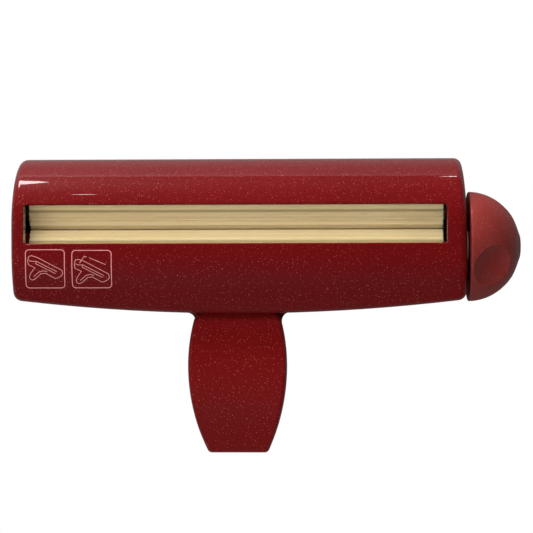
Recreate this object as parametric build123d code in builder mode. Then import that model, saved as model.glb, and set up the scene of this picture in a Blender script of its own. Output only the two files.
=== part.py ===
from build123d import *
from math import cos, pi, radians, sin, sqrt
import os

# Hand-held paper crimper: two fluted rollers in a clamshell housing, a dome knob that turns
# the lower roller, and a squeeze lever that swings the upper roller down onto it.
# X runs along the rollers towards the knob, Y up the tool and away from its grip, Z out of
# its front. The tool lies on its back on Z = 0. The origin is on the back, behind the lower
# roller's axis, halfway along the rollers.

# ---- Driving dimensions, in millimetres and degrees ----

# Rollers: a zigzag of flutes with rounded tips and valleys
roller_length = 223.4
flutes = 16
flute_tip_radius = 10.6
flute_valley_radius = 8.1
flute_rounding = 0.55
closed_center_distance = 18.7
axis_z = 31.0

# Housing: its ends stand this far beyond the rollers and bulge about these heights
left_end_margin = 7.7
left_end_radius = 1200.0
left_bulge_y = 8.0
right_end_margin = 12.1
right_end_radius = 800.0
right_bulge_y = -6.0
body_depth = 56.0
arch_radius = 36.5
arch_center_y = 12.2
front_break_y = -5.0
front_lower_radius = 48.0
bottom_y = -35.9
bottom_radius = 1000.0
corner_radius = 5.0
edge_radius = 4.0
wall = 2.4
seam = 0.15
lap_thickness = 1.0
lap_height = 2.0
lap_end_margin = 13.7

# Windows that the paper goes in and out by
window_left_margin = 0.75
window_right_margin = 1.15
window_low = 1.6
window_high = 22.0
window_corner = 1.2
window_edge = 0.8
lip_depth = 7.5
lip_wall = 1.8
rear_window_end_margin = 2.7
rear_window_low = 2.4
rear_window_high = 16.4

# Lower roller's drive train
drive_shaft_radius = 4.0
drive_shaft_knob_reach = 15.8
bush_wall = 2.0
left_bush_length = 4.9
right_bush_length = 6.0
bush_flange_radius = 8.0
bush_flange_thickness = 0.55
bush_boss_wall = 2.5
left_skin = 0.7
roller_end_gap = 0.5
drive_pin_radius = 1.25
drive_pin_length = 14.0
drive_pin_inset = 1.5
clip_thickness = 0.8
clip_width = 2.0
clip_groove_depth = 0.5
washer_thickness = 0.5
washer_gap = 0.15
washer_radius = 9.0

# Upper roller's shaft and bushes
idler_shaft_radius = 3.0
idler_bush_wall = 2.4
idler_bush_length = 12.0
idler_bore_relief = 1.0
idler_clip_width = 1.6
idler_clip_thickness = 0.6
idler_clip_gap = 0.05
shaft_end_chamfer = 0.4

# Swing frame that carries the upper roller
swing_arm = 16.0
lever_travel = 3.6
frame_thickness = 1.5
arm_gap = 0.3
frame_low_y = -21.5
web_high_y = -12.5
web_front_z = 21.0
arm_back_z = 9.0
flange_height = 7.0
ear_radius = 6.0

# Pivot screws and their bushes
pivot_radius = 2.5
pivot_bush_wall = 1.5
pivot_head_radius = 4.9
pivot_head_thickness = 1.3
pivot_thread_radius = 2.0
pivot_thread_length = 3.0
pivot_boss_radius = 6.0
pivot_boss_gap = 0.3
slot_width = 1.0
slot_depth = 0.6

# Squeeze lever
grip_x = 0.85
lever_half_width = 26.6
lever_widest_y = -64.0
lever_tip_y = -111.6
lever_tip_half_width = 16.0
lever_tip_corner = 2.7
lever_top_y = -33.6
lever_top_half_width = 21.9
lever_top_corner = 8.5
lever_front_top_z = 38.5
lever_front_widest_z = 42.5
lever_front_tip_z = 31.0
lever_back_top_z = 34.5
lever_back_tip_z = 21.5
lever_edge_radius = 2.5
lever_wall = 2.4
lever_gap = 0.8
tongue_half_width = 16.0
tongue_high_y = -13.0
tongue_thickness = 5.5
tongue_back_z = 31.0
lever_screw_pitch = 18.0
lever_screw_y = -17.0

# Rear grip, in one piece with the rear shell
grip_inset = 1.0
neck_half_width = 23.2
neck_y = -42.0
neck_flare = 5.0
grip_rim_step = 1.2

# Knob
knob_radius = 29.6
knob_height = 28.4
knob_roundness = 2.0
knob_gap = 1.5
knob_base_edge = 0.8
dimple_turn = 26.0
dimple_offset = 12.6
dimple_radius = 24.0
dimple_depth = 5.2
dimple_edge = 0.8
knob_hub_radius = 8.0
knob_recess_radius = 18.5
knob_recess_depth = 10.5
set_screw_radius = 2.0
set_screw_length = 5.0
set_screw_offset = 5.0
set_screw_turn = 116.0
socket_radius = 1.1
socket_depth = 2.0

# Screws that close the housing
screw_radius = 1.45
screw_hole_radius = 1.7
screw_head_radius = 2.8
screw_head_height = 2.0
screw_well_radius = 3.0
screw_well_top = 22.0
screw_reach = 9.0
screw_post_radius = 4.6
top_screw_y = 39.0
top_screw_end_margin = 21.7
low_screw_y = -27.0
low_screw_end_margin = 61.7

# Return spring and stop pads
spring_y = -47.0
spring_mean_radius = 4.2
spring_wire = 1.1
spring_turns = 8
spring_seat_radius = 6.2
spring_post_radius = 3.1
spring_post_height = 6.0
spring_lever_z = 33.0
stop_end_margin = 36.7
stop_y = -17.0
stop_post_radius = 3.6
stop_pad_radius = 3.2
stop_pad_thickness = 1.5
stop_gap = 0.3

# Clearances
running = 0.05
press = 0.02

# ---- Worked out from the driving dimensions ----

split_z = axis_z
arch_center_z = body_depth - arch_radius
back_radius = arch_center_z
back_center_y = arch_center_y + arch_radius - back_radius
top_y = arch_center_y + arch_radius
beyond = 10.0
roller_end = roller_length / 2
left_end = -roller_end - left_end_margin
right_end = roller_end + right_end_margin
window_left = -roller_end - window_left_margin
window_right = roller_end + window_right_margin
rear_window_half_length = roller_end - rear_window_end_margin
lap_half_length = roller_end - lap_end_margin
top_screw_x = roller_end - top_screw_end_margin
low_screw_x = roller_end - low_screw_end_margin
stop_x = roller_end - stop_end_margin
body_middle_x = (left_end + right_end) / 2
body_length = right_end - left_end

pivot_y = closed_center_distance
pivot_z = axis_z - swing_arm
idler_y = pivot_y + swing_arm * sin(radians(lever_travel))
idler_z = pivot_z + swing_arm * cos(radians(lever_travel))

bush_radius = drive_shaft_radius + running + bush_wall
bush_boss_radius = bush_radius + bush_boss_wall
left_bush_x = left_end + left_skin
left_boss_x = -roller_end - roller_end_gap
right_boss_x = right_end - right_bush_length
arm_inner_x = roller_end + arm_gap
arm_outer_x = arm_inner_x + frame_thickness
knob_base_x = right_end + knob_gap
idler_bush_radius = idler_shaft_radius + running + idler_bush_wall
idler_clip_x = arm_outer_x + idler_clip_gap
idler_shaft_end = idler_clip_x + idler_clip_thickness + 0.2
clip_groove_margin = 0.05

drive_axis = Axis((0, 0, axis_z), (1, 0, 0))


def lever_back_z(y):
    """Height of the lever's straight back edge at y."""
    share = (lever_top_y - y) / (lever_top_y - lever_tip_y)
    return lever_back_top_z + share * (lever_back_tip_z - lever_back_top_z)


def rim_z(y):
    """Height of the rear grip's rim at y, just behind the lever's back edge when squeezed."""
    return lever_back_z(y) - (pivot_y - y) * sin(radians(lever_travel)) - lever_gap


def flute_outline(axis_y, height, turn):
    """Section of a roller about (axis_y, height) at its left end, a tip at turn degrees from +Y."""
    corners = []
    for step in range(2 * flutes):
        radius = flute_tip_radius if step % 2 == 0 else flute_valley_radius
        angle = radians(turn + 180 * step / flutes)
        corners.append((axis_y + radius * cos(angle), height + radius * sin(angle)))
    with BuildSketch(Plane.YZ.offset(-roller_end)) as section:
        with BuildLine():
            Polyline(*corners, close=True)
        make_face()
        fillet(section.vertices(), flute_rounding)
    return section.sketch


def body_outline(inset):
    """The housing seen from the front, drawn in by inset: bulged ends and a bowed lower edge."""
    with BuildSketch(Plane.XY) as outline:
        with Locations((right_end - right_end_radius, right_bulge_y)):
            Circle(right_end_radius - inset)
        with Locations((left_end + left_end_radius, left_bulge_y)):
            Circle(left_end_radius - inset, mode=Mode.INTERSECT)
        with Locations((body_middle_x, bottom_y + bottom_radius)):
            Circle(bottom_radius - inset, mode=Mode.INTERSECT)
        with Locations((body_middle_x, top_y + beyond)):
            Rectangle(
                2 * body_length,
                2 * (top_y - bottom_y),
                align=(Align.CENTER, Align.MAX),
                mode=Mode.INTERSECT,
            )
        fillet(outline.vertices().sort_by(Axis.Y)[:2], corner_radius - inset)
    return outline.sketch


def lever_outline(inset):
    """The lever seen from the front, drawn in by inset: barrel sides and a rounded top."""
    widest = (grip_x + lever_half_width - inset, lever_widest_y)
    tip = (grip_x + lever_tip_half_width - inset, lever_tip_y + inset)
    top = (grip_x + lever_top_half_width - inset, lever_top_y - inset)
    with BuildSketch(Plane.XY) as outline:
        with BuildLine():
            Line((grip_x, tip[1]), tip)
            TangentArc(widest, tip, tangent=(0, -1))
            TangentArc(widest, top, tangent=(0, 1))
            Line(top, (grip_x, top[1]))
            mirror(about=Plane.YZ.offset(grip_x))
        make_face()
        fillet(outline.vertices().group_by(Axis.Y)[0], lever_tip_corner)
        fillet(outline.vertices().group_by(Axis.Y)[-1], lever_top_corner - inset)
    return outline.sketch


def rear_outline(inset):
    """Housing and rear grip seen from the front, drawn in by inset, with a flared neck."""
    widest = (grip_x + lever_half_width - grip_inset - inset, lever_widest_y)
    tip_half_width = lever_tip_half_width - grip_inset - inset
    tip = (grip_x + tip_half_width, lever_tip_y + grip_inset + inset)
    neck = (grip_x + neck_half_width - inset, neck_y)
    inside_y = bottom_y + beyond
    with BuildSketch(Plane.XY) as outline:
        add(body_outline(inset))
        with BuildLine():
            Line((grip_x, tip[1]), tip)
            TangentArc(widest, tip, tangent=(0, -1))
            Spline(widest, neck, tangents=((0, 1), (0, 1)))
            Line(neck, (neck[0], inside_y))
            Line((neck[0], inside_y), (grip_x, inside_y))
            mirror(about=Plane.YZ.offset(grip_x))
        make_face()
        fillet(outline.vertices().group_by(Axis.Y)[0], lever_tip_corner)
        reach = neck_half_width + 1
        flare = outline.vertices().filter_by_position(Axis.X, grip_x - reach, grip_x + reach)
        flare = flare.filter_by_position(Axis.Y, neck_y + 1, 0)
        fillet(flare, neck_flare + inset)
    return outline.sketch


def body_profile(inset, low_y):
    """The housing seen from its end down to low_y, drawn in by inset: flat back, arched front."""
    lower = front_lower_radius - inset
    lower_z = body_depth - front_lower_radius
    run = front_break_y - low_y
    end_z = lower_z + sqrt(lower**2 - run**2)
    front_z = body_depth - inset
    back = (back_center_y, inset)
    with BuildSketch(Plane.YZ) as profile:
        with BuildLine():
            CenterArc((arch_center_y, arch_center_z), arch_radius - inset, 0, 90)
            Line((arch_center_y, front_z), (front_break_y, front_z))
            RadiusArc((low_y, end_z), (front_break_y, front_z), lower)
            Line((low_y, end_z), (low_y, inset))
            Line((low_y, inset), back)
            CenterArc((back_center_y, back_radius), back_radius - inset, 270, 90)
        make_face()
    return profile.sketch


def long_curves(part):
    """Edges that are not straight: the loop round the housing and grip between face and side."""
    return part.edges().filter_by(GeomType.LINE, reverse=True)


def body_block(inset):
    """Solid envelope of the whole housing, drawn in by inset."""
    with BuildPart() as block:
        extrude(body_outline(inset), amount=body_depth)
        extrude(
            body_profile(inset, bottom_y - beyond),
            amount=body_length,
            both=True,
            mode=Mode.INTERSECT,
        )
        fillet(long_curves(block), edge_radius - inset)
    return block.part


def rear_block(inset, top_z, rim_rise):
    """Solid envelope of the rear shell and its grip, drawn in by inset, up to top_z."""
    end_y = lever_tip_y - beyond
    step_y = bottom_y - grip_rim_step
    with BuildPart() as block:
        extrude(body_profile(inset, bottom_y), amount=body_length, both=True)
        with BuildSketch(Plane.YZ):
            with BuildLine():
                Polyline(
                    (0, inset),
                    (end_y, inset),
                    (end_y, rim_z(end_y) + rim_rise),
                    (step_y, rim_z(step_y) + rim_rise),
                    (bottom_y, top_z),
                    (0, top_z),
                    close=True,
                )
            make_face()
        extrude(amount=body_length, both=True)
        extrude(rear_outline(inset), amount=top_z, mode=Mode.INTERSECT)
        curves = long_curves(block)
        back_curves = [
            edge
            for edge in curves
            if edge.center().Z < top_z - 0.1
            and (edge.center().Y > bottom_y or edge.center().Z < edge_radius)
        ]
        fillet(back_curves, edge_radius - inset)
    return block.part


screw_places = [
    (-top_screw_x, top_screw_y),
    (0, top_screw_y),
    (top_screw_x, top_screw_y),
    (-low_screw_x, low_screw_y),
    (low_screw_x, low_screw_y),
]
stop_places = [(-stop_x, stop_y), (stop_x, stop_y)]
lever_screw_places = [
    (grip_x - lever_screw_pitch / 2, lever_screw_y),
    (grip_x + lever_screw_pitch / 2, lever_screw_y),
]
outer_body = body_block(0)
front_window_z = arch_center_z + sqrt(arch_radius**2 - (window_high - arch_center_y) ** 2)
notch_half_width = lever_top_half_width
notch_front_z = lever_front_top_z + 1.5

# ---- Front shell: arched cover with the paper window ----

with BuildPart() as window_lip:
    with BuildSketch(Plane.XY.offset(body_depth - lip_depth)):
        with Locations(((window_left + window_right) / 2, (window_low + window_high) / 2)):
            RectangleRounded(
                window_right - window_left + 2 * lip_wall,
                window_high - window_low + 2 * lip_wall,
                window_corner + lip_wall,
            )
    extrude(amount=lip_depth)
    add(outer_body, mode=Mode.INTERSECT)

with BuildPart() as front_ribs:
    with BuildSketch(Plane.XY.offset(split_z)):
        with Locations(*screw_places):
            Circle(screw_post_radius)
    extrude(amount=body_depth)
    with BuildSketch(Plane.XY.offset(web_front_z + stop_gap + stop_pad_thickness)):
        with Locations(*stop_places):
            Circle(stop_post_radius)
    extrude(amount=body_depth)
    for boss_from, boss_to in ((left_end, left_boss_x), (right_boss_x, right_end)):
        with BuildSketch(Plane.YZ.offset(boss_from)):
            with Locations((0, split_z)):
                Circle(bush_boss_radius)
                Rectangle(
                    2 * bush_boss_radius,
                    bush_boss_radius,
                    align=(Align.CENTER, Align.MIN),
                    mode=Mode.INTERSECT,
                )
        extrude(amount=boss_to - boss_from)
    add(outer_body, mode=Mode.INTERSECT)

with BuildPart() as front_shell:
    add(outer_body)
    add(body_block(wall), mode=Mode.SUBTRACT)
    split(bisect_by=Plane.XY.offset(split_z), keep=Keep.TOP)
    add(window_lip.part)
    add(front_ribs.part)
    with BuildSketch(Plane.XY.offset(axis_z)):
        with Locations(((window_left + window_right) / 2, (window_low + window_high) / 2)):
            RectangleRounded(window_right - window_left, window_high - window_low, window_corner)
    extrude(amount=body_depth, mode=Mode.SUBTRACT)
    rim_edges = front_shell.edges().filter_by_position(
        Axis.Z, front_window_z - 1, body_depth + 1
    )
    rim_edges = rim_edges.filter_by_position(Axis.X, window_left - 0.1, window_right + 0.1)
    rim_edges = rim_edges.filter_by_position(Axis.Y, window_low - 0.1, window_high + 0.1)
    fillet(rim_edges, window_edge)
    with BuildSketch(Plane.XY.offset(split_z)):
        with Locations((grip_x, bottom_y)):
            Rectangle(2 * notch_half_width, 2 * wall + 2)
    extrude(amount=notch_front_z - split_z, mode=Mode.SUBTRACT)
    with BuildSketch(Plane.XY.offset(split_z)):
        with Locations(*screw_places):
            Circle(screw_radius)
    extrude(amount=screw_reach, mode=Mode.SUBTRACT)
    with BuildSketch(Plane.YZ.offset(left_bush_x)):
        with Locations((0, axis_z)):
            Circle(bush_radius + press)
    extrude(amount=left_boss_x - left_bush_x, mode=Mode.SUBTRACT)
    with BuildSketch(Plane.YZ.offset(right_boss_x)):
        with Locations((0, axis_z)):
            Circle(bush_radius + press)
    extrude(amount=right_bush_length + 1, mode=Mode.SUBTRACT)
front_shell.part.label = "front_shell"

# ---- Rear shell: back tray, flared neck and rear grip ----

outer_rear = rear_block(0, split_z - seam, 0)

with BuildPart() as rear_ribs:
    with BuildSketch(Plane.XY):
        with Locations(*screw_places):
            Circle(screw_post_radius)
    extrude(amount=split_z)
    with BuildSketch(Plane.XY):
        with Locations((grip_x, spring_y)):
            Circle(spring_post_radius)
    extrude(amount=wall + spring_post_height)
    for boss_from, boss_to in ((left_end, left_boss_x), (right_boss_x, right_end)):
        with BuildSketch(Plane.YZ.offset(boss_from)):
            with Locations((0, split_z)):
                Circle(bush_boss_radius)
        extrude(amount=boss_to - boss_from)
    pivot_boss_x = arm_outer_x + pivot_boss_gap
    for boss_from, boss_to in ((left_end, -pivot_boss_x), (pivot_boss_x, right_end)):
        with BuildSketch(Plane.YZ.offset(boss_from)):
            with Locations((pivot_y, pivot_z)):
                Circle(pivot_boss_radius)
        extrude(amount=boss_to - boss_from)
    add(outer_rear, mode=Mode.INTERSECT)

with BuildPart() as lap:
    add(body_block(wall - 0.3))
    add(body_block(wall + lap_thickness), mode=Mode.SUBTRACT)
    with BuildSketch(Plane.XY.offset(split_z - 2 * lap_height)):
        Rectangle(2 * lap_half_length, 4 * top_y)
    extrude(amount=2 * lap_height - seam, mode=Mode.INTERSECT)

with BuildPart() as lap_top:
    add(body_block(wall + running))
    add(body_block(wall + lap_thickness), mode=Mode.SUBTRACT)
    with BuildSketch(Plane.XY.offset(split_z - 2 * lap_height)):
        Rectangle(2 * lap_half_length, 4 * top_y)
    extrude(amount=3 * lap_height, mode=Mode.INTERSECT)

with BuildPart() as rear_shell:
    add(outer_rear)
    add(rear_block(wall, split_z + 1, body_depth), mode=Mode.SUBTRACT)
    add(lap.part)
    add(lap_top.part)
    with BuildSketch(Plane.XY.offset(wall)):
        with Locations((grip_x, bottom_y)):
            Rectangle(2 * notch_half_width, 4 * wall + 4)
    extrude(amount=body_depth, mode=Mode.SUBTRACT)
    with BuildSketch(Plane.XY.offset(split_z - seam)):
        with Locations(*screw_places):
            Circle(screw_post_radius + 0.3)
    extrude(amount=2 * lap_height, mode=Mode.SUBTRACT)
    add(rear_ribs.part)
    with BuildSketch(Plane.XY):
        with Locations((0, (rear_window_low + rear_window_high) / 2)):
            RectangleRounded(
                2 * rear_window_half_length, rear_window_high - rear_window_low, window_corner
            )
    extrude(amount=2 * wall, mode=Mode.SUBTRACT)
    with BuildSketch(Plane.XY):
        with Locations(*screw_places):
            Circle(screw_well_radius)
    extrude(amount=screw_well_top, mode=Mode.SUBTRACT)
    with BuildSketch(Plane.XY):
        with Locations(*screw_places):
            Circle(screw_hole_radius)
    extrude(amount=body_depth, mode=Mode.SUBTRACT)
    with BuildSketch(Plane.YZ.offset(left_bush_x)):
        with Locations((0, axis_z)):
            Circle(bush_radius + press)
    extrude(amount=left_boss_x - left_bush_x, mode=Mode.SUBTRACT)
    with BuildSketch(Plane.YZ.offset(right_boss_x)):
        with Locations((0, axis_z)):
            Circle(bush_radius + press)
    extrude(amount=right_bush_length + 1, mode=Mode.SUBTRACT)
    for side in (-1, 1):
        with BuildSketch(Plane.YZ.offset(side * pivot_boss_x)):
            with Locations((pivot_y, pivot_z)):
                Circle(pivot_thread_radius)
        extrude(amount=side * pivot_thread_length, mode=Mode.SUBTRACT)
rear_shell.part.label = "rear_shell"

# ---- Screws that close the housing, from the back ----

with BuildPart() as shell_screws:
    with BuildSketch(Plane.XY.offset(screw_well_top - screw_head_height)):
        with Locations(*screw_places):
            Circle(screw_head_radius)
    extrude(amount=screw_head_height)
    with BuildSketch(Plane.XY.offset(screw_well_top)):
        with Locations(*screw_places):
            Circle(screw_radius)
    extrude(amount=split_z + screw_reach - 1 - screw_well_top)
    with BuildSketch(Plane.XY.offset(screw_well_top - screw_head_height)):
        with Locations(*screw_places):
            Rectangle(slot_width, 2 * screw_head_radius - 1.6)
            Rectangle(2 * screw_head_radius - 1.6, slot_width)
    extrude(amount=slot_depth, mode=Mode.SUBTRACT)
shell_screws.part.label = "shell_screws"

# ---- Lower roller with its shaft, pin, bushes, clip and washer ----

drive_pin_x = roller_end - drive_pin_inset
with BuildPart() as drive_roller:
    extrude(flute_outline(0, axis_z, 0), amount=roller_length)
    with BuildSketch(Plane.YZ.offset(-roller_end)):
        with Locations((0, axis_z)):
            Circle(drive_shaft_radius + press)
    extrude(amount=roller_length, mode=Mode.SUBTRACT)
    with BuildSketch(Plane.YZ.offset(drive_pin_x - drive_pin_radius - running)):
        with Locations((0, axis_z)):
            Rectangle(2 * (drive_pin_radius + running), drive_pin_length + 0.4)
    extrude(amount=roller_end, mode=Mode.SUBTRACT)
drive_roller.part.label = "drive_roller"

shaft_left_x = left_bush_x + 0.2
shaft_right_x = knob_base_x + drive_shaft_knob_reach
drive_clip_x = right_boss_x - 0.2 - clip_thickness
with BuildPart() as drive_shaft:
    with BuildSketch(Plane.YZ.offset(shaft_left_x)):
        with Locations((0, axis_z)):
            Circle(drive_shaft_radius)
    extrude(amount=shaft_right_x - shaft_left_x)
    chamfer(drive_shaft.edges(), shaft_end_chamfer)
    with BuildSketch(Plane.YZ.offset(drive_clip_x - clip_groove_margin)):
        with Locations((0, axis_z)):
            Circle(drive_shaft_radius + 1)
            Circle(drive_shaft_radius - clip_groove_depth, mode=Mode.SUBTRACT)
    extrude(amount=clip_thickness + 2 * clip_groove_margin, mode=Mode.SUBTRACT)
    with BuildSketch(Plane.XY.offset(axis_z)):
        with Locations((drive_pin_x, 0)):
            Circle(drive_pin_radius + press)
    extrude(amount=2 * drive_shaft_radius, both=True, mode=Mode.SUBTRACT)
drive_shaft.part.label = "drive_shaft"

with BuildPart() as drive_pin:
    with BuildSketch(Plane.XY.offset(axis_z)):
        with Locations((drive_pin_x, 0)):
            Circle(drive_pin_radius)
    extrude(amount=drive_pin_length / 2, both=True)
drive_pin.part.label = "drive_pin"

with BuildPart() as drive_bush_left:
    with BuildSketch(Plane.YZ.offset(left_bush_x + press)):
        with Locations((0, axis_z)):
            Circle(bush_radius)
            Circle(drive_shaft_radius + running, mode=Mode.SUBTRACT)
    extrude(amount=left_bush_length)
drive_bush_left.part.label = "drive_bush_left"

with BuildPart() as drive_bush_right:
    with BuildSketch(Plane.YZ.offset(right_boss_x)):
        with Locations((0, axis_z)):
            Circle(bush_radius)
    extrude(amount=right_bush_length + press)
    with BuildSketch(Plane.YZ.offset(right_end + press)):
        with Locations((0, axis_z)):
            Circle(bush_flange_radius)
    extrude(amount=bush_flange_thickness)
    with BuildSketch(Plane.YZ.offset(right_boss_x)):
        with Locations((0, axis_z)):
            Circle(drive_shaft_radius + running)
    extrude(amount=2 * right_bush_length, mode=Mode.SUBTRACT)
drive_bush_right.part.label = "drive_bush_right"


def retaining_clip(plane_x, axis_y, height, inner, width, thickness):
    """Open spring clip on a shaft at (axis_y, height), its mouth towards the back."""
    with BuildPart() as clip:
        with BuildSketch(Plane.YZ.offset(plane_x)):
            with Locations((axis_y, height)):
                Circle(inner + width)
                Circle(inner, mode=Mode.SUBTRACT)
                Rectangle(
                    1.5 * inner,
                    inner + 2 * width,
                    align=(Align.CENTER, Align.MAX),
                    mode=Mode.SUBTRACT,
                )
        extrude(amount=thickness)
    return clip.part


drive_clip_inner = drive_shaft_radius - clip_groove_depth + press
drive_clip = retaining_clip(
    drive_clip_x, 0, axis_z, drive_clip_inner, clip_width, clip_thickness
)
drive_clip.label = "drive_clip"

washer_x = right_end + press + bush_flange_thickness + washer_gap
with BuildPart() as knob_washer:
    with BuildSketch(Plane.YZ.offset(washer_x)):
        with Locations((0, axis_z)):
            Circle(washer_radius)
            Circle(drive_shaft_radius + running, mode=Mode.SUBTRACT)
    extrude(amount=washer_thickness)
knob_washer.part.label = "knob_washer"

# ---- Dome knob with two thumb dimples ----


def knob_point(lean):
    """Point of the dome's outline, lean degrees from its rim (0) to its tip (90)."""
    power = 2 / knob_roundness
    out = knob_height * sin(radians(lean)) ** power
    up = knob_radius * cos(radians(lean)) ** power
    return (knob_base_x + out, up)


def around(radius, turn):
    """Y and Z of a point at radius from the drive axis, turn degrees from the front downwards."""
    return (-radius * sin(radians(turn)), axis_z + radius * cos(radians(turn)))


dome_points = [knob_point(lean) for lean in (0, 15, 30, 45, 60, 75)]
dome_tip = (knob_base_x + knob_height, 0)
side_y, side_z = around(1, dimple_turn + 90)
dome_plane = Plane(
    origin=(0, 0, axis_z),
    x_dir=(1, 0, 0),
    z_dir=(0, axis_z - side_z, side_y),
)
dimple_share = 1 - (dimple_offset / knob_height) ** knob_roundness
dimple_reach = knob_radius * dimple_share ** (1 / knob_roundness)
slope_out = dimple_offset ** (knob_roundness - 1) / knob_height**knob_roundness
slope_up = dimple_reach ** (knob_roundness - 1) / knob_radius**knob_roundness
slope_length = sqrt(slope_out**2 + slope_up**2)
ball_lift = dimple_radius - dimple_depth
ball_x = knob_base_x + dimple_offset + ball_lift * slope_out / slope_length
ball_reach = dimple_reach + ball_lift * slope_up / slope_length

with BuildPart() as crank_knob:
    with BuildSketch(dome_plane):
        with BuildLine():
            Line((knob_base_x, 0), dome_points[0])
            Spline(*dome_points, dome_tip, tangents=((1, 0), (0, -1)))
            Line(dome_tip, (knob_base_x, 0))
        make_face()
    revolve(axis=drive_axis)
    fillet(crank_knob.edges().sort_by(Axis.X)[0], knob_base_edge)
    for turn in (dimple_turn, dimple_turn + 180):
        ball_y, ball_z = around(ball_reach, turn)
        with Locations((ball_x, ball_y, ball_z)):
            Sphere(dimple_radius, mode=Mode.SUBTRACT)
    dimple_edges = crank_knob.edges().filter_by(GeomType.LINE, reverse=True)
    dimple_edges = dimple_edges.filter_by_position(
        Axis.X, knob_base_x + 1.2 * knob_base_edge, knob_base_x + knob_height
    )
    fillet(dimple_edges, dimple_edge)
    with BuildSketch(Plane.YZ.offset(knob_base_x)):
        with Locations((0, axis_z)):
            Circle(knob_recess_radius)
            Circle(knob_hub_radius, mode=Mode.SUBTRACT)
    extrude(amount=knob_recess_depth, mode=Mode.SUBTRACT)
    with BuildSketch(Plane.YZ.offset(knob_base_x)):
        with Locations((0, axis_z)):
            Circle(drive_shaft_radius + press)
    extrude(amount=drive_shaft_knob_reach + 0.2, mode=Mode.SUBTRACT)
    screw_y, screw_z = around(1, set_screw_turn)
    screw_plane = Plane(
        origin=(knob_base_x + set_screw_offset, 0, axis_z),
        x_dir=(1, 0, 0),
        z_dir=(0, screw_y, screw_z - axis_z),
    )
    with BuildSketch(screw_plane):
        Circle(set_screw_radius + press)
    extrude(amount=knob_radius, mode=Mode.SUBTRACT)
crank_knob.part.label = "crank_knob"

with BuildPart() as knob_set_screw:
    with BuildSketch(screw_plane.offset(drive_shaft_radius + press)):
        Circle(set_screw_radius)
    extrude(amount=set_screw_length)
    with BuildSketch(screw_plane.offset(drive_shaft_radius + press + set_screw_length)):
        RegularPolygon(socket_radius, 6)
    extrude(amount=-socket_depth, mode=Mode.SUBTRACT)
knob_set_screw.part.label = "knob_set_screw"

# ---- Upper roller with its bushes, shaft and clips ----

idler_turn = 180 + 180 / flutes - lever_travel
with BuildPart() as idler_roller:
    extrude(flute_outline(idler_y, idler_z, idler_turn), amount=roller_length)
    with BuildSketch(Plane.YZ.offset(-roller_end)):
        with Locations((idler_y, idler_z)):
            Circle(idler_shaft_radius + idler_bore_relief)
    extrude(amount=roller_length, mode=Mode.SUBTRACT)
    for side in (-1, 1):
        with BuildSketch(Plane.YZ.offset(side * roller_end)):
            with Locations((idler_y, idler_z)):
                Circle(idler_bush_radius + press)
        extrude(amount=-side * idler_bush_length, mode=Mode.SUBTRACT)
idler_roller.part.label = "idler_roller"

idler_bushes = []
for side in (-1, 1):
    with BuildPart() as idler_bush:
        with BuildSketch(Plane.YZ.offset(side * roller_end)):
            with Locations((idler_y, idler_z)):
                Circle(idler_bush_radius)
                Circle(idler_shaft_radius + running, mode=Mode.SUBTRACT)
        extrude(amount=-side * (idler_bush_length - press))
    idler_bushes.append(idler_bush.part)
idler_bushes[0].label = "idler_bush_left"
idler_bushes[1].label = "idler_bush_right"

with BuildPart() as idler_shaft:
    with BuildSketch(Plane.YZ):
        with Locations((idler_y, idler_z)):
            Circle(idler_shaft_radius)
    extrude(amount=idler_shaft_end, both=True)
    chamfer(idler_shaft.faces().filter_by(Axis.X).edges(), shaft_end_chamfer / 2)
    for side in (-1, 1):
        with BuildSketch(Plane.YZ.offset(side * (idler_clip_x - clip_groove_margin))):
            with Locations((idler_y, idler_z)):
                Circle(idler_shaft_radius + 1)
                Circle(idler_shaft_radius - clip_groove_depth, mode=Mode.SUBTRACT)
        extrude(amount=side * (idler_clip_thickness + 2 * clip_groove_margin), mode=Mode.SUBTRACT)
idler_shaft.part.label = "idler_shaft"

idler_clip_inner = idler_shaft_radius - clip_groove_depth + press
idler_clips = []
for clip_x in (-idler_clip_x - idler_clip_thickness, idler_clip_x):
    idler_clip = retaining_clip(
        clip_x, idler_y, idler_z, idler_clip_inner, idler_clip_width, idler_clip_thickness
    )
    idler_clips.append(idler_clip)
idler_clips[0].label = "idler_clip_left"
idler_clips[1].label = "idler_clip_right"

# ---- Swing frame: two sheet arms joined by a web behind the rollers ----

pivot_bush_radius = pivot_radius + running + pivot_bush_wall
web_back_z = web_front_z - frame_thickness
with BuildPart() as swing_frame:
    for arm_from in (-arm_outer_x, arm_inner_x):
        with BuildSketch(Plane.YZ.offset(arm_from)):
            with Locations((idler_y, idler_z), (pivot_y, pivot_z)):
                Circle(ear_radius)
            make_hull()
            with BuildLine():
                Polyline(
                    (frame_low_y, arm_back_z),
                    (pivot_y, arm_back_z),
                    (pivot_y, web_front_z),
                    (frame_low_y, web_front_z),
                    close=True,
                )
            make_face()
        extrude(amount=frame_thickness)
    with BuildSketch(Plane.YZ):
        with BuildLine():
            Polyline(
                (frame_low_y, web_front_z),
                (web_high_y, web_front_z),
                (web_high_y, web_back_z - flange_height),
                (web_high_y - frame_thickness, web_back_z - flange_height),
                (web_high_y - frame_thickness, web_back_z),
                (frame_low_y, web_back_z),
                close=True,
            )
        make_face()
    extrude(amount=arm_outer_x, both=True)
    with BuildSketch(Plane.YZ):
        with Locations((idler_y, idler_z)):
            Circle(idler_shaft_radius + press)
        with Locations((pivot_y, pivot_z)):
            Circle(pivot_bush_radius + press)
    extrude(amount=arm_outer_x, both=True, mode=Mode.SUBTRACT)
    with BuildSketch(Plane.XY.offset(web_back_z)):
        with Locations(*lever_screw_places):
            Circle(screw_hole_radius)
    extrude(amount=frame_thickness, mode=Mode.SUBTRACT)
swing_frame.part.label = "swing_frame"

# ---- Pivot screws and bushes, one at each end ----

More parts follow.
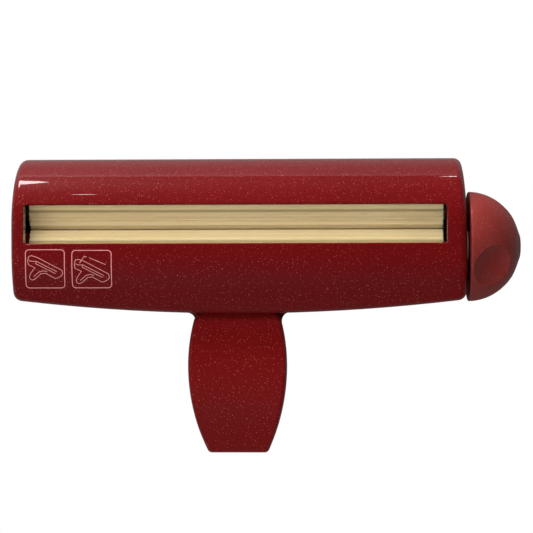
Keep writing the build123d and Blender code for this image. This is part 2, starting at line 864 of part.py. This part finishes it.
pivot_screws = []
pivot_bushes = []
for side in (-1, 1):
    with BuildPart() as pivot_screw:
        head_x = side * (arm_inner_x - 0.2)
        with BuildSketch(Plane.YZ.offset(head_x)):
            with Locations((pivot_y, pivot_z)):
                Circle(pivot_head_radius)
        extrude(amount=-side * pivot_head_thickness)
        with BuildSketch(Plane.YZ.offset(head_x)):
            with Locations((pivot_y, pivot_z)):
                Circle(pivot_radius)
        extrude(amount=side * pivot_boss_x - head_x)
        with BuildSketch(Plane.YZ.offset(side * pivot_boss_x)):
            with Locations((pivot_y, pivot_z)):
                Circle(pivot_thread_radius)
        extrude(amount=side * (pivot_thread_length - 0.2))
        with BuildSketch(Plane.YZ.offset(head_x - side * pivot_head_thickness)):
            with Locations((pivot_y, pivot_z)):
                Rectangle(2 * pivot_head_radius, slot_width)
        extrude(amount=side * slot_depth, mode=Mode.SUBTRACT)
    pivot_screws.append(pivot_screw.part)
    with BuildPart() as pivot_bush:
        with BuildSketch(Plane.YZ.offset(side * arm_inner_x)):
            with Locations((pivot_y, pivot_z)):
                Circle(pivot_bush_radius)
                Circle(pivot_radius + running, mode=Mode.SUBTRACT)
        extrude(amount=side * frame_thickness)
    pivot_bushes.append(pivot_bush.part)
pivot_screws[0].label = "pivot_screw_left"
pivot_screws[1].label = "pivot_screw_right"
pivot_bushes[0].label = "pivot_bush_left"
pivot_bushes[1].label = "pivot_bush_right"

# ---- Squeeze lever: bowed plate with skirts and a tongue up to the swing frame ----


def lever_block(inset, back_drop):
    """Solid envelope of the lever's plate, drawn in by inset, its back lowered by back_drop."""
    start_y = lever_top_y + 1
    end_y = lever_tip_y - beyond
    with BuildPart() as block:
        extrude(lever_outline(inset), amount=body_depth)
        with BuildSketch(Plane.YZ):
            with BuildLine():
                bow = ThreePointArc(
                    (lever_top_y, lever_front_top_z - inset),
                    (lever_widest_y, lever_front_widest_z - inset),
                    (lever_tip_y, lever_front_tip_z - inset),
                )
                tail = TangentArc(bow @ 1, (end_y, (bow @ 1).Y - 4.0), tangent=bow % 1)
                Polyline(
                    tail @ 1,
                    (end_y, lever_back_z(end_y) - back_drop),
                    (start_y, lever_back_z(start_y) - back_drop),
                    (start_y, lever_front_top_z - inset),
                    bow @ 0,
                )
            make_face()
        extrude(amount=2 * lever_half_width, both=True, mode=Mode.INTERSECT)
        if inset == 0:
            curves = long_curves(block)
            front_curves = [
                edge for edge in curves if edge.center().Z > lever_back_z(edge.center().Y) + 1.5
            ]
            fillet(front_curves, lever_edge_radius)
    return block.part


spring_base_z = wall
with BuildPart() as squeeze_lever:
    add(lever_block(0, 0))
    add(lever_block(lever_wall, body_depth), mode=Mode.SUBTRACT)
    with BuildSketch(Plane.YZ.offset(grip_x)):
        with BuildLine():
            Polyline(
                (tongue_high_y, web_front_z),
                (tongue_high_y, web_front_z + tongue_thickness),
                (tongue_high_y - 6, web_front_z + tongue_thickness),
                (lever_top_y, lever_front_top_z - 1),
                (lever_top_y - 8, lever_front_top_z - 1),
                (lever_top_y - 8, tongue_back_z),
                (lever_top_y - 1, tongue_back_z),
                (frame_low_y - 0.5, web_front_z),
                close=True,
            )
        make_face()
    extrude(amount=tongue_half_width, both=True)
    with BuildSketch(Plane.XY.offset(spring_lever_z)):
        with Locations((grip_x, spring_y)):
            Circle(spring_seat_radius)
    extrude(amount=lever_front_top_z - spring_lever_z)
    with BuildSketch(Plane.XY.offset(spring_lever_z)):
        with Locations((grip_x, spring_y)):
            Circle(spring_post_radius)
    extrude(amount=-spring_post_height)
    with BuildSketch(Plane.XY.offset(web_front_z)):
        with Locations(*lever_screw_places):
            Circle(screw_radius)
    extrude(amount=tongue_thickness - 0.5, mode=Mode.SUBTRACT)
squeeze_lever.part.label = "squeeze_lever"

with BuildPart() as lever_screws:
    with BuildSketch(Plane.XY.offset(web_back_z - screw_head_height)):
        with Locations(*lever_screw_places):
            Circle(screw_head_radius)
    extrude(amount=screw_head_height)
    with BuildSketch(Plane.XY.offset(web_back_z)):
        with Locations(*lever_screw_places):
            Circle(screw_radius)
    extrude(amount=frame_thickness + tongue_thickness - 1)
    with BuildSketch(Plane.XY.offset(web_back_z - screw_head_height)):
        with Locations(*lever_screw_places):
            Rectangle(slot_width, 2 * screw_head_radius - 1.6)
            Rectangle(2 * screw_head_radius - 1.6, slot_width)
    extrude(amount=slot_depth, mode=Mode.SUBTRACT)
lever_screws.part.label = "lever_screws"

# ---- Return spring in the neck: one wire wound as a helix of tangent arcs ----

spring_low_z = spring_base_z + spring_wire / 2 + running
spring_high_z = spring_lever_z - spring_wire / 2 - running
spring_pitch = (spring_high_z - spring_low_z) / spring_turns
spring_steps = 4 * spring_turns


def spring_point(step):
    """Point of the spring's centre line after step quarter turns."""
    angle = pi / 2 * step
    return Vector(
        grip_x + spring_mean_radius * cos(angle),
        spring_y + spring_mean_radius * sin(angle),
        spring_low_z + spring_pitch * step / 4,
    )


def spring_heading(step):
    """Unit direction of the spring's centre line after step quarter turns."""
    angle = pi / 2 * step
    rise = spring_pitch / (2 * pi)
    along = Vector(-spring_mean_radius * sin(angle), spring_mean_radius * cos(angle), rise)
    return along.normalized()


with BuildPart() as return_spring:
    with BuildLine() as coil:
        for step in range(spring_steps):
            start, end = spring_point(step), spring_point(step + 1)
            out, into = spring_heading(step), spring_heading(step + 1)
            chord = end - start
            lean = chord.dot(out + into)
            bend = 2 * (1 - out.dot(into))
            reach = (sqrt(lean**2 + bend * chord.dot(chord)) - lean) / bend
            middle = (start + end + (out - into) * reach) * 0.5
            first = TangentArc(start, middle, tangent=out)
            TangentArc(middle, end, tangent=first % 1)
    with BuildSketch(Plane(origin=spring_point(0), z_dir=spring_heading(0))):
        Circle(spring_wire / 2)
    sweep(path=coil.line)
return_spring.part.label = "return_spring"
print("return spring, least gap between turns:", round(spring_pitch - spring_wire, 2), "mm")

# ---- Stop pads that hold the lever at rest ----

stop_pads = []
for place in stop_places:
    with BuildPart() as stop_pad:
        with BuildSketch(Plane.XY.offset(web_front_z + stop_gap)):
            with Locations(place):
                Circle(stop_pad_radius)
        extrude(amount=stop_pad_thickness)
    stop_pads.append(stop_pad.part)
stop_pads[0].label = "stop_pad_left"
stop_pads[1].label = "stop_pad_right"

# ---- Write every sub-part ----

os.makedirs("parts", exist_ok=True)
export_step(front_shell.part, "parts/front_shell.step")
export_step(rear_shell.part, "parts/rear_shell.step")
export_step(shell_screws.part, "parts/shell_screws.step")
export_step(drive_roller.part, "parts/drive_roller.step")
export_step(drive_shaft.part, "parts/drive_shaft.step")
export_step(drive_pin.part, "parts/drive_pin.step")
export_step(drive_bush_left.part, "parts/drive_bush_left.step")
export_step(drive_bush_right.part, "parts/drive_bush_right.step")
export_step(drive_clip, "parts/drive_clip.step")
export_step(knob_washer.part, "parts/knob_washer.step")
export_step(crank_knob.part, "parts/crank_knob.step")
export_step(knob_set_screw.part, "parts/knob_set_screw.step")
export_step(idler_roller.part, "parts/idler_roller.step")
export_step(idler_bushes[0], "parts/idler_bush_left.step")
export_step(idler_bushes[1], "parts/idler_bush_right.step")
export_step(idler_shaft.part, "parts/idler_shaft.step")
export_step(idler_clips[0], "parts/idler_clip_left.step")
export_step(idler_clips[1], "parts/idler_clip_right.step")
export_step(swing_frame.part, "parts/swing_frame.step")
export_step(pivot_screws[0], "parts/pivot_screw_left.step")
export_step(pivot_screws[1], "parts/pivot_screw_right.step")
export_step(pivot_bushes[0], "parts/pivot_bush_left.step")
export_step(pivot_bushes[1], "parts/pivot_bush_right.step")
export_step(squeeze_lever.part, "parts/squeeze_lever.step")
export_step(lever_screws.part, "parts/lever_screws.step")
export_step(return_spring.part, "parts/return_spring.step")
export_step(stop_pads[0], "parts/stop_pad_left.step")
export_step(stop_pads[1], "parts/stop_pad_right.step")
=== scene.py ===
"""Looks for the hand-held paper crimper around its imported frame. Metres, +Z out of the front."""

import math

import bmesh
import bpy
from mathutils import Matrix, Vector


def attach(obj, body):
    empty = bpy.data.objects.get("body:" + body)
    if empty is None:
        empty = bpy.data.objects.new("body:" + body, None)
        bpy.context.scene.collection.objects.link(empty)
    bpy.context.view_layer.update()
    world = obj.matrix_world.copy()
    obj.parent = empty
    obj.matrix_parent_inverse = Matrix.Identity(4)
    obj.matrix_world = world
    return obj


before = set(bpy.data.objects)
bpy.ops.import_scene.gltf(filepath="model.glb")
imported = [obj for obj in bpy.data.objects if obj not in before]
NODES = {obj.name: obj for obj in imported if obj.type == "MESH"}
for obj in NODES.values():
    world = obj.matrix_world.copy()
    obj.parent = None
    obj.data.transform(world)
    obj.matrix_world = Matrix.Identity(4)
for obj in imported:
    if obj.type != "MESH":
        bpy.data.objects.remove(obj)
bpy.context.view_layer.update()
MM = 0.001

# ---- Camera: nearly straight in front, a little right of the middle ----

CAMERA_AT = Vector((0.050, -0.025, 1.046))
CAMERA_AIM = Vector((0.01719, -0.01091, 0.056))
CAMERA_ROLL_DEG = -0.113
LENS_MM = 126.27
SENSOR_MM = 36.0
CLIP_NEAR = 0.05
CLIP_FAR = 20.0


def make_camera():
    """Camera at the photograph's place, its up side towards +Y."""
    data = bpy.data.cameras.new("camera")
    data.lens = LENS_MM
    data.sensor_width = SENSOR_MM
    data.clip_start = CLIP_NEAR
    data.clip_end = CLIP_FAR
    camera = bpy.data.objects.new("camera", data)
    bpy.context.scene.collection.objects.link(camera)
    back = (CAMERA_AT - CAMERA_AIM).normalized()
    right = Vector((0.0, 1.0, 0.0)).cross(back).normalized()
    up = back.cross(right)
    axes = Matrix((right, up, back)).transposed().to_4x4()
    roll = Matrix.Rotation(math.radians(CAMERA_ROLL_DEG), 4, "Z")
    camera.matrix_world = Matrix.Translation(CAMERA_AT) @ axes @ roll
    bpy.context.scene.camera = camera


# ---- Node helpers for procedural materials ----


class Nodes:
    """A material's node tree with short ways to add and join nodes."""

    def __init__(self, name):
        self.material = bpy.data.materials.new(name)
        self.material.use_nodes = True
        self.tree = self.material.node_tree
        self.shader = self.tree.nodes["Principled BSDF"]
        self.where = self.add("ShaderNodeTexCoord").outputs["Object"]

    def add(self, kind, **inputs):
        node = self.tree.nodes.new(kind)
        for name, value in inputs.items():
            self.put(node.inputs[name], value)
        return node

    def put(self, socket, value):
        if isinstance(value, bpy.types.NodeSocket):
            self.tree.links.new(value, socket)
        else:
            socket.default_value = value

    def noise(self, scale, detail=2.0, roughness=0.5):
        node = self.add("ShaderNodeTexNoise", Vector=self.where, Scale=scale, Detail=detail)
        node.inputs["Roughness"].default_value = roughness
        return node.outputs["Fac"]

    def cells(self, scale):
        """Voronoi cells: distance to the cell's point, and the cell's own random colour."""
        node = self.add("ShaderNodeTexVoronoi", Vector=self.where, Scale=scale)
        return node.outputs["Distance"], node.outputs["Color"]

    def math(self, operation, first, second=0.0):
        node = self.add("ShaderNodeMath")
        node.operation = operation
        self.put(node.inputs[0], first)
        self.put(node.inputs[1], second)
        return node.outputs[0]

    def ramp(self, value, low, high):
        """0 below low, 1 above high."""
        node = self.add("ShaderNodeMapRange")
        self.put(node.inputs["Value"], value)
        node.inputs["From Min"].default_value = low
        node.inputs["From Max"].default_value = high
        return node.outputs["Result"]

    def mix(self, share, first, second):
        node = self.add("ShaderNodeMix")
        node.data_type = "RGBA"
        self.put(node.inputs["Factor"], share)
        self.put(node.inputs["A"], first)
        self.put(node.inputs["B"], second)
        return node.outputs["Result"]

    def split(self, colour):
        return self.add("ShaderNodeSeparateColor", Color=colour).outputs

    def vector(self, operation, first):
        """A vector node with its first input joined."""
        node = self.add("ShaderNodeVectorMath", Vector=first)
        node.operation = operation
        return node

    def varied(self, wave, spread, least):
        """A roughness that runs from least up by spread."""
        return self.math("ADD", self.math("MULTIPLY", wave, spread), least)

    def bump(self, height, distance, strength=1.0):
        node = self.add("ShaderNodeBump", Height=height, Distance=distance, Strength=strength)
        return node.outputs["Normal"]

    def set(self, **inputs):
        """Set shader sockets by name, underscores for spaces."""
        for name, value in inputs.items():
            self.put(self.shader.inputs[name.replace("_", " ")], value)


# ---- Materials ----

FLECK_CELLS = 2700.0  # per metre
FLECK_REACH = 0.45  # of a cell's width, from its point
FLECK_LEAN = 0.9  # how far a fleck turns out of the surface
FLECK_METAL = 0.6
FLECK_FADE_FROM = -0.25  # below zero, so that the faintest fleck still shows
FLECK_DULL = (0.34, 0.035, 0.03, 1.0)
FLECK_BRIGHT = (0.66, 0.26, 0.20, 1.0)
UNDERCOAT_SHINE = 0.12
COAT_IOR = 1.5
CELL_MIDDLE = (0.5, 0.5, 0.5)

IVORY_DARK = (0.84, 0.68, 0.36, 1.0)
IVORY_LIGHT = (0.88, 0.73, 0.42, 1.0)
IVORY_SPECK = (0.62, 0.47, 0.24, 1.0)
INK_FULL = (0.50, 0.19, 0.18, 1.0)
INK_THIN = (0.28, 0.06, 0.06, 1.0)

# The darkest and the lightest colour of each of the others
SHELL_REDS = ((0.080, 0.0016, 0.0022, 1.0), (0.092, 0.0018, 0.0024, 1.0))
LEVER_REDS = ((0.100, 0.0018, 0.0022, 1.0), (0.116, 0.0022, 0.0026, 1.0))
KNOB_REDS = ((0.124, 0.0130, 0.0110, 1.0), (0.142, 0.0165, 0.0140, 1.0))
SHAFT_GREYS = ((0.50, 0.50, 0.52, 1.0), (0.68, 0.68, 0.70, 1.0))
SHEET_GREYS = ((0.46, 0.48, 0.50, 1.0), (0.62, 0.63, 0.65, 1.0))
SCREW_GREYS = ((0.42, 0.42, 0.44, 1.0), (0.60, 0.60, 0.62, 1.0))
WIRE_GREYS = ((0.34, 0.35, 0.37, 1.0), (0.52, 0.53, 0.55, 1.0))
BUSH_CREAMS = ((0.60, 0.59, 0.54, 1.0), (0.70, 0.69, 0.64, 1.0))
PAD_BLACKS = ((0.025, 0.025, 0.025, 1.0), (0.045, 0.045, 0.045, 1.0))


def glitter_plastic(name, deep, light, roughness, gloss, fleck_share, coat=1.0):
    """Coloured plastic with fine metal flakes below a smooth clear skin."""
    n = Nodes(name)
    cloud = n.ramp(n.noise(9.0, 3.0), 0.3, 0.7)
    colour = n.mix(cloud, deep, light)
    near, random = n.cells(FLECK_CELLS)
    pick = n.split(random)
    chosen = n.math("GREATER_THAN", pick["Red"], 1.0 - fleck_share)
    fleck = n.math("MULTIPLY", chosen, n.math("LESS_THAN", near, FLECK_REACH))
    fleck_colour = n.mix(pick["Blue"], FLECK_DULL, FLECK_BRIGHT)
    fade = n.math("MULTIPLY", fleck, n.ramp(pick["Green"], FLECK_FADE_FROM, 1.0))
    colour = n.mix(fade, colour, fleck_colour)
    tilt = n.vector("SUBTRACT", random)
    tilt.inputs[1].default_value = CELL_MIDDLE
    lean = n.vector("SCALE", tilt.outputs[0])
    n.put(lean.inputs["Scale"], n.math("MULTIPLY", fleck, FLECK_LEAN))
    leaning = n.vector("ADD", n.add("ShaderNodeNewGeometry").outputs["Normal"])
    n.put(leaning.inputs[1], lean.outputs[0])
    facing = n.vector("NORMALIZE", leaning.outputs[0])
    n.set(
        Base_Color=colour,
        Roughness=n.varied(n.noise(35.0, 3.0), 0.12, roughness),
        Metallic=n.math("MULTIPLY", fade, FLECK_METAL),
        Normal=facing.outputs[0],
        Specular_IOR_Level=UNDERCOAT_SHINE,
        Coat_Weight=coat,
        Coat_Roughness=gloss,
        Coat_IOR=COAT_IOR,
        Coat_Normal=n.bump(n.noise(260.0, 2.0), 0.00001, 0.3),
    )
    return n.material


def ivory_plastic(name):
    """Cream moulded plastic, a little darker in patches."""
    n = Nodes(name)
    cloud = n.ramp(n.noise(14.0, 4.0), 0.35, 0.7)
    colour = n.mix(cloud, IVORY_DARK, IVORY_LIGHT)
    speck = n.ramp(n.noise(900.0, 2.0), 0.55, 0.75)
    colour = n.mix(n.math("MULTIPLY", speck, 0.15), colour, IVORY_SPECK)
    n.set(
        Base_Color=colour,
        Roughness=n.varied(n.noise(60.0), 0.15, 0.32),
        Normal=n.bump(n.noise(700.0), 0.00003, 0.4),
    )
    return n.material


def turned_metal(name, dark, light, roughness, stretch):
    """Metal with fine marks, drawn out along X where stretch is below one."""
    n = Nodes(name)
    mapping = n.add("ShaderNodeMapping", Vector=n.where)
    mapping.inputs["Scale"].default_value = (stretch, 1.0, 1.0)
    marks = n.add("ShaderNodeTexNoise", Vector=mapping.outputs["Vector"], Scale=900.0, Detail=4.0)
    fine = marks.outputs["Fac"]
    colour = n.mix(n.ramp(fine, 0.3, 0.7), dark, light)
    n.set(
        Base_Color=colour,
        Metallic=1.0,
        Roughness=n.varied(fine, 0.2, roughness),
        Normal=n.bump(fine, 0.00002, 0.3),
    )
    return n.material


def plain_moulding(name, dark, light, roughness, grain):
    """Plain plastic or rubber with a slight grain."""
    n = Nodes(name)
    colour = n.mix(n.ramp(n.noise(120.0, 3.0), 0.3, 0.7), dark, light)
    n.set(
        Base_Color=colour,
        Roughness=n.varied(n.noise(300.0), 0.12, roughness),
        Normal=n.bump(n.noise(grain), 0.00004, 0.5),
    )
    return n.material


def screen_ink(name):
    """Pale pink screen print, thin enough to let a little of the red through in places."""
    n = Nodes(name)
    thin = n.ramp(n.noise(1500.0, 3.0), 0.45, 0.75)
    colour = n.mix(n.math("MULTIPLY", thin, 0.35), INK_FULL, INK_THIN)
    n.set(Base_Color=colour, Roughness=n.varied(thin, 0.1, 0.38))
    return n.material


def dress_nodes():
    """A procedural material on every CAD node."""
    shell = glitter_plastic(
        "shell_red", *SHELL_REDS, roughness=0.35, gloss=0.02, fleck_share=0.06
    )
    lever = glitter_plastic(
        "lever_red", *LEVER_REDS, roughness=0.38, gloss=0.04, fleck_share=0.06
    )
    knob = glitter_plastic(
        "knob_red", *KNOB_REDS, roughness=0.45, gloss=0.32, fleck_share=0.11, coat=0.4
    )
    ivory = ivory_plastic("roller_ivory")
    shaft = turned_metal("shaft_steel", *SHAFT_GREYS, roughness=0.2, stretch=6.0)
    sheet = turned_metal("frame_steel", *SHEET_GREYS, roughness=0.28, stretch=0.2)
    screw = turned_metal("screw_steel", *SCREW_GREYS, roughness=0.25, stretch=1.0)
    wire = turned_metal("spring_steel", *WIRE_GREYS, roughness=0.22, stretch=1.0)
    bush = plain_moulding("bush_plastic", *BUSH_CREAMS, roughness=0.38, grain=500.0)
    pad = plain_moulding("pad_rubber", *PAD_BLACKS, roughness=0.6, grain=1200.0)
    wearers = {
        shell: ["front_shell", "rear_shell"],
        lever: ["squeeze_lever"],
        knob: ["crank_knob"],
        ivory: ["drive_roller", "idler_roller"],
        shaft: ["drive_shaft", "drive_pin", "idler_shaft"],
        sheet: ["swing_frame"],
        screw: [
            "shell_screws",
            "lever_screws",
            "pivot_screw_left",
            "pivot_screw_right",
            "knob_set_screw",
        ],
        wire: ["drive_clip", "idler_clip_left", "idler_clip_right", "return_spring"],
        bush: [
            "knob_washer",
            "drive_bush_left",
            "drive_bush_right",
            "idler_bush_left",
            "idler_bush_right",
            "pivot_bush_left",
            "pivot_bush_right",
        ],
        pad: ["stop_pad_left", "stop_pad_right"],
    }
    for material, names in wearers.items():
        for name in names:
            data = NODES[name].data
            data.materials.clear()
            data.materials.append(material)


# ---- Printed how-to-use frames on the front shell, left of the lever, in millimetres ----

LOWER_FRONT_RADIUS = 48.0
LOWER_FRONT_Y = -5.0
BODY_DEPTH = 56.0
INK_RISE = 0.04  # keeps the print just off the surface
INK_STEP = 0.8
FRAME_LINE = 0.42
DRAWING_LINE = 0.30
FRAME_CORNER = 1.9
CORNER_STEPS = 6
MITRE_LEAST = 0.5  # stops a sharp corner from growing a long point


def front_z(y):
    """Height of the front shell's surface at y, below and on its flat band, in millimetres."""
    if y > LOWER_FRONT_Y:
        return BODY_DEPTH
    drop = LOWER_FRONT_Y - y
    return BODY_DEPTH - LOWER_FRONT_RADIUS + math.sqrt(LOWER_FRONT_RADIUS**2 - drop**2)


def resample(points, step):
    """Points along the broken line at most step apart."""
    out = [Vector(points[0])]
    for a, b in zip(points, points[1:]):
        a, b = Vector(a), Vector(b)
        count = max(1, math.ceil((b - a).length / step))
        for k in range(1, count + 1):
            out.append(a.lerp(b, k / count))
    return out


def ink_line(bm, points, width, closed=False):
    """A flat printed line through points (x, y in millimetres), laid on the front surface."""
    if closed:
        points = [*points, points[0]]
    path = resample(points, INK_STEP)
    if closed:
        path = path[:-1]
    count = len(path)
    pairs = []
    for k, p in enumerate(path):
        before = path[(k - 1) % count] if closed or k else p
        after = path[(k + 1) % count] if closed or k < count - 1 else p
        incoming = (p - before).normalized()
        outgoing = (after - p).normalized()
        along = (incoming + outgoing).normalized()
        side = Vector((-along.y, along.x))
        share = 1.0
        if incoming.length and outgoing.length:
            share = 1.0 / max(MITRE_LEAST, math.sqrt(max(0.0, (1.0 + incoming.dot(outgoing)) / 2)))
        pair = []
        for way in (-0.5, 0.5):
            q = p + side * (way * width * share)
            pair.append(bm.verts.new((q.x * MM, q.y * MM, (front_z(q.y) + INK_RISE) * MM)))
        pairs.append(pair)
    last = count if closed else count - 1
    for k in range(last):
        a, b = pairs[k], pairs[(k + 1) % count]
        bm.faces.new((a[0], b[0], b[1], a[1]))


def rounded_frame(left, right, low, high, radius):
    """Points round a rectangle with rounded corners."""
    points = []
    corners = (
        (right - radius, high - radius, 0),
        (left + radius, high - radius, 90),
        (left + radius, low + radius, 180),
        (right - radius, low + radius, 270),
    )
    for cx, cy, start in corners:
        for k in range(CORNER_STEPS + 1):
            angle = math.radians(start + 90 * k / CORNER_STEPS)
            points.append((cx + radius * math.cos(angle), cy + radius * math.sin(angle)))
    return points


# A plain crimper seen at a slant, in a 20 by 20 millimetre square about its middle
TOOL_DRAWING = {
    "body": [
        (-9.0, 4.6), (-8.6, 6.0), (-7.2, 6.4), (-4.0, 5.4), (9.0, -1.4), (9.4, -3.2), (8.6, -4.4),
        (6.4, -5.6), (5.0, -5.6),
    ],
    "under": [
        (-9.0, 4.6), (-9.2, 3.2), (-8.8, 1.6), (-6.6, 0.6), (-5.4, 0.0), (-7.6, -2.8), (-8.4, -4.6),
        (-8.2, -5.8), (-7.0, -6.6), (-5.4, -6.0), (-2.2, -3.2), (0.4, -3.0), (3.2, -4.6),
        (5.0, -5.6),
    ],
    "grip": [(-6.2, -4.8), (-3.2, -2.2), (-0.8, -1.6), (1.2, -2.2)],
    "slot_high": [(-4.6, 3.4), (6.4, -2.2)],
    "slot_low": [(-5.0, 2.2), (5.6, -3.2)],
    "fold": [(-8.6, 4.0), (-7.0, 3.4), (-4.6, 3.4), (-5.0, 2.2)],
}
ARROW_DRAWING = {
    "stem": [(-6.4, 4.4), (-4.0, 8.0), (-2.6, 7.6)],
    "span": [(-1.2, 7.2), (7.4, 3.6)],
}

# name, left, right, low, high, drawings, and how far they sit from the frame's middle
PRINTS = (
    ("print_frame_left", -111.2, -90.4, -22.0, -1.7, (TOOL_DRAWING,), (0.0, 0.6)),
    (
        "print_frame_right",
        -86.4,
        -65.4,
        -22.0,
        -2.1,
        (TOOL_DRAWING, ARROW_DRAWING),
        (0.0, -1.2),
    ),
)


def make_print(ink, name, left, right, low, high, drawings, shift):
    """One framed how-to-use drawing as a thin printed layer on the front shell."""
    bm = bmesh.new()
    frame_points = rounded_frame(left, right, low, high, FRAME_CORNER)
    ink_line(bm, frame_points, FRAME_LINE, closed=True)
    cx, cy = (left + right) / 2 + shift[0], (low + high) / 2 + shift[1]
    for drawing in drawings:
        for stroke in drawing.values():
            ink_line(bm, [(cx + x, cy + y) for x, y in stroke], DRAWING_LINE)
    mesh = bpy.data.meshes.new(name)
    bm.to_mesh(mesh)
    bm.free()
    obj = bpy.data.objects.new(name, mesh)
    bpy.context.scene.collection.objects.link(obj)
    mesh.materials.append(ink)
    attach(obj, "housing")


# ---- Floor, light and background ----

PART_MIDDLE = (0.0, 0.0, 0.03)
LEFT_OF_ARCH = (-0.1, 0.04, 0.03)
RIGHT_OF_ARCH = (0.1, 0.04, 0.03)
ABOVE_WINDOW = (-0.08, 0.03, 0.04)

# name, place, aimed at, width and height, watts: soft lamps that leave no reflection
SOFT_LAMPS = (
    ("high_key", (-0.15, 0.62, 0.92), PART_MIDDLE, (1.0, 0.4), 10.0),
    ("low_key", (-0.30, 1.05, 0.30), PART_MIDDLE, (1.2, 0.3), 28.0),
    ("front_fill", (-0.20, -0.45, 0.95), PART_MIDDLE, (1.0, 0.4), 4.6),
    ("side_fill_left", (-0.95, 0.0, 0.75), PART_MIDDLE, (0.5, 0.7), 3.5),
    ("side_fill_right", (0.95, 0.0, 0.75), PART_MIDDLE, (0.5, 0.7), 2.0),
    ("low_fill", (-0.10, -1.00, 0.40), PART_MIDDLE, (1.2, 0.4), 5.0),
)

# The same, for oval lamps whose reflections are the highlights on the arch
HIGHLIGHT_LAMPS = (
    ("streak_left", (-0.40, 0.95, 0.23), LEFT_OF_ARCH, (0.32, 0.26), 3.0),
    ("line_middle", (-0.206, 0.80, 0.62), ABOVE_WINDOW, (0.026, 0.012), 0.014),
    ("line_right", (0.198, 0.95, 0.055), RIGHT_OF_ARCH, (0.065, 0.008), 0.06),
)

FLOOR_GREY = 0.15
FLOOR_REACH = 4.0
FLOOR_ROUGHNESS = 0.9
FLOOR_SHINE = 0.1
WHITE = (1.0, 1.0, 1.0, 1.0)
HORIZON_LIGHT = 0.055
ZENITH_LIGHT = 0.03
LIGHT_CHANGES_FROM = 0.15  # heights on a unit sphere
LIGHT_CHANGES_TO = 0.75


def area_light(name, at, aim, size, watts, shape, mirrored):
    """A lamp facing aim; one that isn't mirrored leaves no reflection."""
    data = bpy.data.lights.new(name, "AREA")
    data.shape = shape
    data.size, data.size_y = size
    data.energy = watts
    light = bpy.data.objects.new(name, data)
    bpy.context.scene.collection.objects.link(light)
    light.location = at
    light.visible_glossy = mirrored
    light.rotation_mode = "QUATERNION"
    light.rotation_quaternion = (Vector(aim) - Vector(at)).to_track_quat("-Z", "Y")


def make_floor():
    """Pale floor under the flat back; it looks white to the camera."""
    bm = bmesh.new()
    corners = [
        (-FLOOR_REACH, -FLOOR_REACH),
        (FLOOR_REACH, -FLOOR_REACH),
        (FLOOR_REACH, FLOOR_REACH),
        (-FLOOR_REACH, FLOOR_REACH),
    ]
    bm.faces.new([bm.verts.new((x, y, 0.0)) for x, y in corners])
    mesh = bpy.data.meshes.new("floor")
    bm.to_mesh(mesh)
    bm.free()
    floor = bpy.data.objects.new("floor", mesh)
    bpy.context.scene.collection.objects.link(floor)
    material = bpy.data.materials.new("floor_white")
    material.use_nodes = True
    tree = material.node_tree
    shader = tree.nodes["Principled BSDF"]
    shader.inputs["Base Color"].default_value = (FLOOR_GREY, FLOOR_GREY, FLOOR_GREY, 1.0)
    shader.inputs["Roughness"].default_value = FLOOR_ROUGHNESS
    shader.inputs["Specular IOR Level"].default_value = FLOOR_SHINE
    path = tree.nodes.new("ShaderNodeLightPath")
    glow = tree.nodes.new("ShaderNodeEmission")
    glow.inputs["Color"].default_value = WHITE
    glow.inputs["Strength"].default_value = 1.0
    mix = tree.nodes.new("ShaderNodeMixShader")
    tree.links.new(path.outputs["Is Camera Ray"], mix.inputs[0])
    tree.links.new(shader.outputs[0], mix.inputs[1])
    tree.links.new(glow.outputs[0], mix.inputs[2])
    tree.links.new(mix.outputs[0], tree.nodes["Material Output"].inputs["Surface"])
    mesh.materials.append(material)


def make_world():
    """Dim above, brighter towards the horizon, white to the camera."""
    world = bpy.data.worlds.new("studio")
    bpy.context.scene.world = world
    world.use_nodes = True
    tree = world.node_tree
    tree.nodes.clear()
    out = tree.nodes.new("ShaderNodeOutputWorld")
    soft = tree.nodes.new("ShaderNodeBackground")
    white = tree.nodes.new("ShaderNodeBackground")
    white.inputs["Color"].default_value = WHITE
    white.inputs["Strength"].default_value = 1.0
    where = tree.nodes.new("ShaderNodeTexCoord")
    split = tree.nodes.new("ShaderNodeSeparateXYZ")
    tree.links.new(where.outputs["Generated"], split.inputs[0])
    ramp = tree.nodes.new("ShaderNodeMapRange")
    ramp.interpolation_type = "SMOOTHSTEP"
    ramp.inputs["From Min"].default_value = LIGHT_CHANGES_FROM
    ramp.inputs["From Max"].default_value = LIGHT_CHANGES_TO
    ramp.inputs["To Min"].default_value = HORIZON_LIGHT
    ramp.inputs["To Max"].default_value = ZENITH_LIGHT
    tree.links.new(split.outputs["Z"], ramp.inputs["Value"])
    soft.inputs["Color"].default_value = WHITE
    tree.links.new(ramp.outputs["Result"], soft.inputs["Strength"])
    path = tree.nodes.new("ShaderNodeLightPath")
    mix = tree.nodes.new("ShaderNodeMixShader")
    tree.links.new(path.outputs["Is Camera Ray"], mix.inputs["Fac"])
    tree.links.new(soft.outputs[0], mix.inputs[1])
    tree.links.new(white.outputs[0], mix.inputs[2])
    tree.links.new(mix.outputs[0], out.inputs["Surface"])


make_camera()
dress_nodes()
print_ink = screen_ink("print_ink")
for row in PRINTS:
    make_print(print_ink, *row)
make_floor()
make_world()
for row in SOFT_LAMPS:
    area_light(*row, shape="RECTANGLE", mirrored=False)
for row in HIGHLIGHT_LAMPS:
    area_light(*row, shape="ELLIPSE", mirrored=True)

scene = bpy.context.scene
scene.view_settings.view_transform = "Standard"
